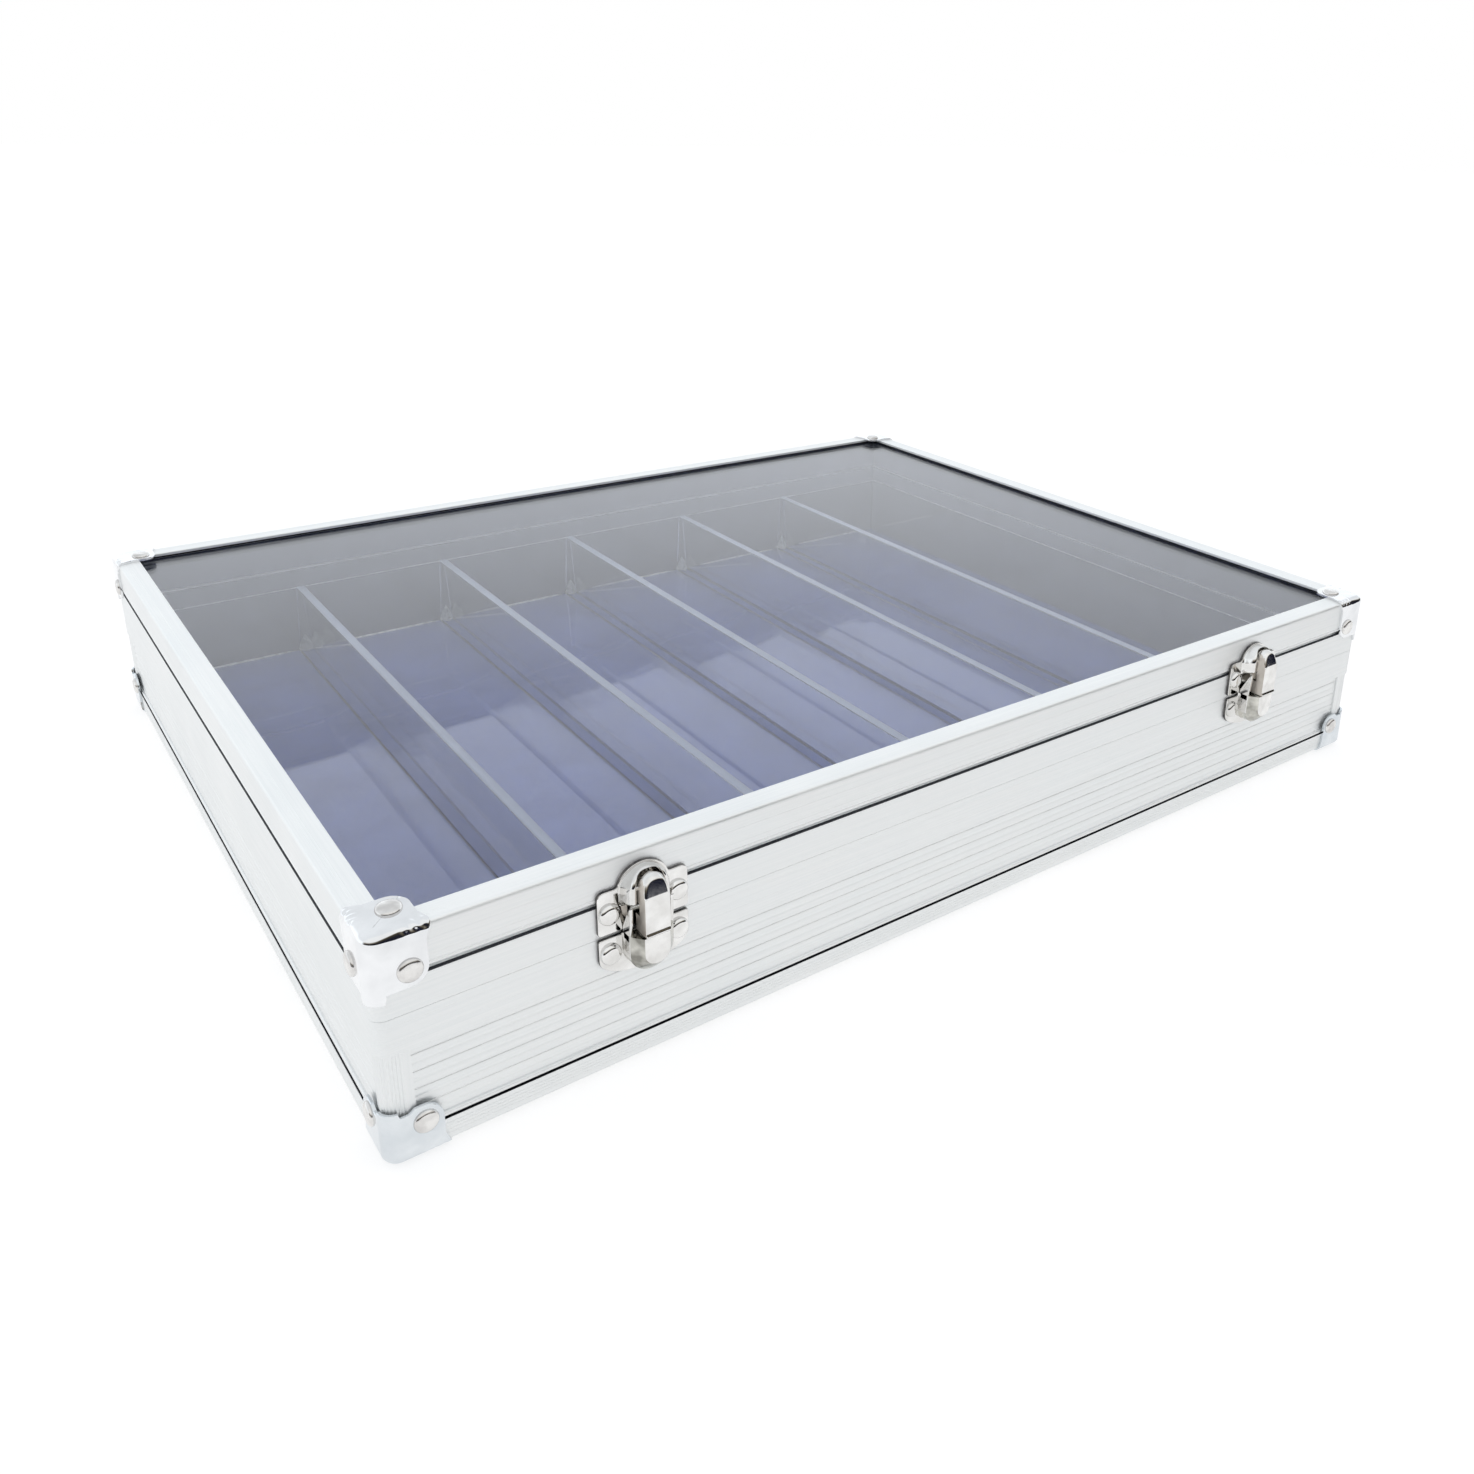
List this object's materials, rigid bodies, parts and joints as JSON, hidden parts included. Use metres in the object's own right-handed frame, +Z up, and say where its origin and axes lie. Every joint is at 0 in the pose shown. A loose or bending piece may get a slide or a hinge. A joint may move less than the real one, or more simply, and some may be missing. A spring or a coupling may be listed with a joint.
{
  "type": "knife display case",
  "caption": "Flat aluminium collection case with a hinged glass lid, front snap latches, chromed corner caps and a clear divided tray over a felt floor.",
  "frame": {"origin": "under the middle of the bounding box, on the plane that the bottom rivets stand on", "axes": "+X along the latched front towards its right end, +Y from the front to the hinged back, +Z up"},
  "size_m": [0.3846, 0.32, 0.0653],
  "materials": {
    "rail_aluminium": "satin extruded",
    "ribbed_aluminium": "satin ribbed",
    "cap_chrome": "polished plate",
    "latch_chrome": "polished nickel plate",
    "hinge_steel": "zinc plated",
    "lid_glass": "clear float",
    "tray_plastic": "clear thermoformed",
    "floor_felt": "slate blue felt",
    "wall_felt": "grey felt",
    "seal_rubber": "black strip",
    "bottom_board": "black board"
  },
  "bodies": {
    "base": {"bottom_rail_front": "rail_aluminium", "bottom_rail_right": "rail_aluminium", "bottom_rail_back": "rail_aluminium", "bottom_rail_left": "rail_aluminium", "ribbed_panel_front": "ribbed_aluminium", "ribbed_panel_right": "ribbed_aluminium", "ribbed_panel_back": "ribbed_aluminium", "ribbed_panel_left": "ribbed_aluminium", "base_rim_front": "rail_aluminium", "base_rim_right": "rail_aluminium", "base_rim_back": "rail_aluminium", "base_rim_left": "rail_aluminium", "corner_column_front_left": "ribbed_aluminium", "corner_column_front_right": "ribbed_aluminium", "corner_column_back_right": "ribbed_aluminium", "corner_column_back_left": "ribbed_aluminium", "base_cap_front_left": "cap_chrome", "base_cap_front_right": "cap_chrome", "base_cap_back_right": "cap_chrome", "base_cap_back_left": "cap_chrome", "bottom_panel": "bottom_board", "floor_lining": "floor_felt", "wall_lining_front": "wall_felt", "wall_lining_right": "wall_felt", "wall_lining_back": "wall_felt", "wall_lining_left": "wall_felt", "divider_tray": "tray_plastic", "latch_catch_left": "latch_chrome", "latch_catch_right": "latch_chrome", "hinge_base_leaf_left": "hinge_steel", "hinge_base_leaf_right": "hinge_steel", "hinge_pin_left": "hinge_steel", "hinge_pin_right": "hinge_steel"},
    "lid": {"lid_skirt_front": "rail_aluminium", "lid_skirt_right": "rail_aluminium", "lid_skirt_back": "rail_aluminium", "lid_skirt_left": "rail_aluminium", "lid_rail_front": "rail_aluminium", "lid_rail_right": "rail_aluminium", "lid_rail_back": "rail_aluminium", "lid_rail_left": "rail_aluminium", "glass_pane": "lid_glass", "glass_seal_front": "seal_rubber", "glass_seal_right": "seal_rubber", "glass_seal_back": "seal_rubber", "glass_seal_left": "seal_rubber", "lid_cap_front_left": "cap_chrome", "lid_cap_front_right": "cap_chrome", "lid_cap_back_right": "cap_chrome", "lid_cap_back_left": "cap_chrome", "latch_plate_left": "latch_chrome", "latch_plate_right": "latch_chrome", "latch_pin_left": "hinge_steel", "latch_pin_right": "hinge_steel", "hinge_lid_leaf_left": "hinge_steel", "hinge_lid_leaf_right": "hinge_steel"},
    "lever_left": {"latch_lever_left": "latch_chrome"},
    "lever_right": {"latch_lever_right": "latch_chrome"}
  },
  "joints": [
    {"name": "lid_hinge", "type": "hinge", "parent": "base", "child": "lid", "pos_m": [0, 0.1575, 0.0416], "axis": [-1, 0, 0], "range_deg": [0, 105]},
    {"name": "lever_left_hinge", "type": "hinge", "parent": "lid", "child": "lever_left", "pos_m": [-0.123, -0.1548, 0.0556], "axis": [-1, 0, 0], "range_deg": [0, 80]},
    {"name": "lever_right_hinge", "type": "hinge", "parent": "lid", "child": "lever_right", "pos_m": [0.123, -0.1548, 0.0556], "axis": [-1, 0, 0], "range_deg": [0, 80]}
  ]
}
